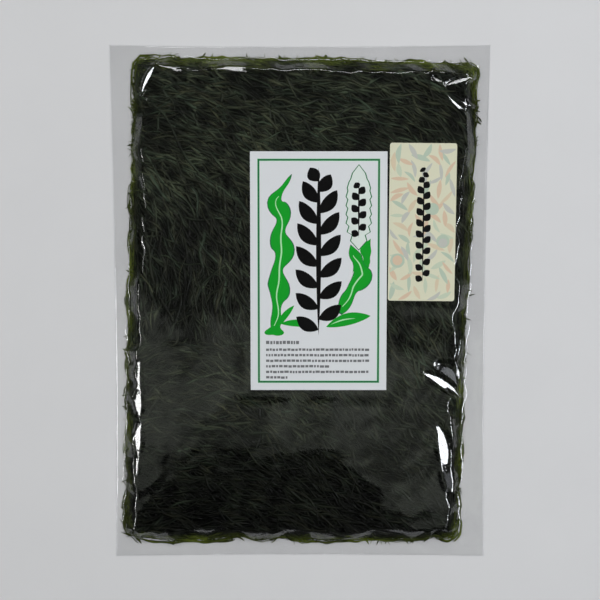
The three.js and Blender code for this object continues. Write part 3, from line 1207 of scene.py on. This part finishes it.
def make_label(name, layers, middle, turn):
    """A closed sheet of paper, with the ink's colour on each face of its front."""
    flat, triangles, inks = cut_paper(layers)
    cosine, sine = math.cos(turn), math.sin(turn)
    x = flat[:, 0] * cosine - flat[:, 1] * sine + middle[0]
    y = flat[:, 0] * sine + flat[:, 1] * cosine + middle[1]
    back = PAPER_HEIGHT + paper_wave(x, y)
    front = np.stack([x, y, back + PAPER_THICKNESS], -1)
    behind = np.stack([x, y, back], -1)
    walls = paper_walls(triangles, len(flat))
    faces = np.concatenate([triangles, triangles[:, ::-1] + len(flat), walls])
    piece = new_piece(name, np.concatenate([front, behind]), faces, smooth=False)
    plain = np.array([colour(layers[0][0])])
    paint = np.concatenate([inks, np.repeat(plain, len(triangles) + len(walls), 0)])
    add_attribute(piece, "ink", np.repeat(paint, 3, 0), "FLOAT_COLOR", "color", "CORNER")
    return piece


# -------- stage

FLOOR_RADIUS = 1600
CARD_HEIGHT = 1000
CEILING_GLOW = 0.032
BACKDROP_GLOW = 0.55
MIRRORED_GLOW = (0.3, 0.045)  # of the soft light, at the horizon and above it

WHITE_LIGHT = (1.0, 1.0, 1.0)
WARM_LIGHT = (1.0, 1.0, 0.98)

# Small lamps that the film mirrors as glints, and wide faint ones behind them that make a halo:
# name, place, size, power in watts and tint.
RIGHT = np.array([890, -330, 1250])
LEFT = np.array([-1080, -300, 1200])
TOP = np.array([0, 1100, 1100])
CORNER = np.array([800, 600, 1250])
HALO_DISTANCE = 1.1
MIRRORED_LAMPS = [
    ("glint_right", RIGHT, (300, 500), 5.6, (0.95, 0.97, 1.0)),
    ("glint_left", LEFT, (220, 350), 2.6, (1.0, 0.99, 0.97)),
    ("glint_top", TOP, (500, 220), 2.2, WHITE_LIGHT),
    ("glint_corner", CORNER, (200, 300), 2.4, (0.95, 0.97, 1.0)),
    ("halo_right", HALO_DISTANCE * RIGHT, (900, 1100), 2.2, (0.92, 0.95, 1.0)),
    ("halo_left", HALO_DISTANCE * LEFT, (800, 1000), 3.0, WARM_LIGHT),
    ("halo_corner", HALO_DISTANCE * CORNER, (650, 650), 2.0, (0.92, 0.95, 1.0)),
    ("halo_top", HALO_DISTANCE * TOP, (1300, 700), 0.8, WHITE_LIGHT),
]

# Lamps that light the pack without being mirrored
SOFT_LAMPS = [
    ("soft_right", (900, 300, 1500), (1000, 1000), 3.7, (0.96, 0.98, 1.0)),
    ("soft_left", (-900, 300, 1500), (1000, 1000), 3.9, WARM_LIGHT),
    ("soft_top", (0, 1300, 1200), (1200, 700), 3.8, WHITE_LIGHT),
]


def look_at(thing, place, target):
    """Puts a camera or a lamp at place, facing target with its top towards +Y."""
    place, target = Vector(place) * MM, Vector(target) * MM
    back = (place - target).normalized()
    right = Vector((0, 1, 0)).cross(back)
    right = right.normalized() if right.length > 1e-6 else Vector((1, 0, 0))
    up = back.cross(right)
    turned = Matrix((right, up, back)).transposed().to_4x4()
    thing.matrix_world = Matrix.Translation(place) @ turned


def make_camera():
    """The view of the photo: nearly straight down, leaning a little towards the pack's top end."""
    data = bpy.data.cameras.new("camera")
    data.sensor_width = SENSOR
    data.lens = SENSOR * VIEW_DISTANCE / VIEW_WIDTH
    camera = add_object("camera", data)
    look_at(camera, CAMERA, VIEW_TARGET)
    bpy.context.scene.camera = camera


def make_lamp(name, place, size, power, tint):
    """A rectangular lamp that faces the middle of the pack."""
    data = bpy.data.lights.new(name, "AREA")
    data.shape = "RECTANGLE"
    data.size, data.size_y = size[0] * MM, size[1] * MM
    data.energy = power
    data.color = tint
    lamp = add_object(name, data)
    look_at(lamp, place, (0, 0, 0))
    return lamp


def card_material():
    """Brightness of the card: a bright band near its ragged edge, dim beyond it."""
    shader = Shader(bpy.data.materials.new("card_glow"))
    place = shader.place()
    split = shader.node("SeparateXYZ")
    shader.put(split.inputs[0], place)
    cloud = shader.noise(place, 8.0, 4.0)
    wander = shader.vary(shader.noise(place, 9.0, 2.0), -0.05, 0.05)
    leaning = shader.math("MULTIPLY", split.outputs["X"], 0.15)
    along = shader.math("ADD", shader.math("ADD", split.outputs["Y"], wander), leaning)
    band = shader.spread(along, 1.0, 0.0, -0.15, -0.11)
    bright = shader.spread(cloud, 0.07, 0.27, 0.42, 0.56)
    strength = shader.math("ADD", CEILING_GLOW, shader.math("MULTIPLY", band, bright))
    glow = shader.node("Emission", Color=(0.93, 1.0, 0.85, 1.0))
    shader.put(glow.inputs["Strength"], strength)
    return shader.finish(glow.outputs[0])


def make_reflected_card():
    """A dim ceiling card over the camera, out of its view.

    The film mirrors it as a grey veil, with a dark arch under the card's ragged near edge.
    """
    columns, rows = 48, 12
    u, v = np.meshgrid(np.linspace(-1, 1, columns), np.linspace(0, 1, rows))
    x = u * 500
    near = -290 + 13 * np.sin(x / 28) - 0.0018 * (x + 50) ** 2
    y = near + (900 - near) * v
    points = np.stack([x, y, np.full_like(x, CARD_HEIGHT)], -1)
    faces = grid_faces(np.arange(rows * columns).reshape(rows, columns))
    card = new_piece("reflected_card", points, faces)
    card.data.materials.append(card_material())
    card.visible_camera = False
    card.visible_diffuse = False
    card.visible_shadow = False


def make_world():
    """Soft light from all round, pale near the floor, dark overhead and dimmer in front of the pack.

    The backdrop is seen as one pale grey, and the film mirrors it dimly.
    """
    world = bpy.data.worlds.new("studio")
    bpy.context.scene.world = world
    shader = Shader(world, "OutputWorld")
    way = shader.node("SeparateXYZ")
    shader.put(way.inputs[0], shader.node("TexCoord").outputs["Generated"])
    height = shader.math("POWER", shader.spread(way.outputs["Z"], 0.85, 0.3, 0.0, 0.9), 4.0)
    glow = shader.math("MULTIPLY", height, shader.spread(way.outputs["Y"], 0.25, 1.0, -0.7, 0.1))
    ray = shader.node("LightPath")
    mirrored = shader.math("MULTIPLY", glow, shader.spread(way.outputs["Z"], *MIRRORED_GLOW, 0.04, 0.16))
    change = shader.math("MULTIPLY", ray.outputs["Is Glossy Ray"], shader.math("SUBTRACT", mirrored, glow))
    dimmed = shader.math("ADD", glow, change)
    seen = shader.spread(ray.outputs["Is Camera Ray"], 0.0, BACKDROP_GLOW)
    background = shader.node("Background", Color=(0.97, 0.98, 1.0, 1.0))
    shader.put(background.inputs["Strength"], shader.math("MAXIMUM", dimmed, seen))
    shader.finish(background.outputs[0])


def make_stage():
    """The floor, the lamps, the reflected card and the world."""
    rim = circle(0, 0, FLOOR_RADIUS, 120)
    floor = new_piece("floor", [(x, y, 0) for x, y in rim], [list(range(len(rim)))])
    floor.data.materials.append(floor_material())
    for lamp in MIRRORED_LAMPS:
        make_lamp(*lamp)
    for lamp in SOFT_LAMPS:
        make_lamp(*lamp).visible_glossy = False
    make_reflected_card()
    make_world()
    bpy.context.scene.view_settings.view_transform = "Standard"


# -------- assembly


def settle(piece, material):
    """Gives a piece its finish and lets it ride on the part's one body."""
    piece.data.materials.append(material)
    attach(piece, "root")
    return piece


make_camera()
make_stage()

kelp = kelp_material()
film = settle(make_film(), film_material())
core = settle(make_core(), core_material())
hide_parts("filled_bag")
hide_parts("filled_bag")
settle(make_face_strands("kelp_strands_upper", 61, 1850, -0.9, 0.2, 0.22), kelp)
settle(make_face_strands("kelp_strands_middle", 62, 1850, -1.6, -0.5, 0.32), kelp)
settle(make_face_strands("kelp_strands_lower", 64, 1700, -2.6, -1.2, 0.55), kelp)
settle(make_edge_strands("kelp_strands_edge", 63, 1500), kelp)

front = make_label("front_paper", front_print(), front_box.middle, 0)
side = make_label("side_paper", side_print(), side_box.middle, SIDE_TURN)
settle(front, paper_material("front_print", 0.42, 900.0))
settle(side, paper_material("side_print", 0.55, 700.0))
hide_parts("front_label")
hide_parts("side_label")
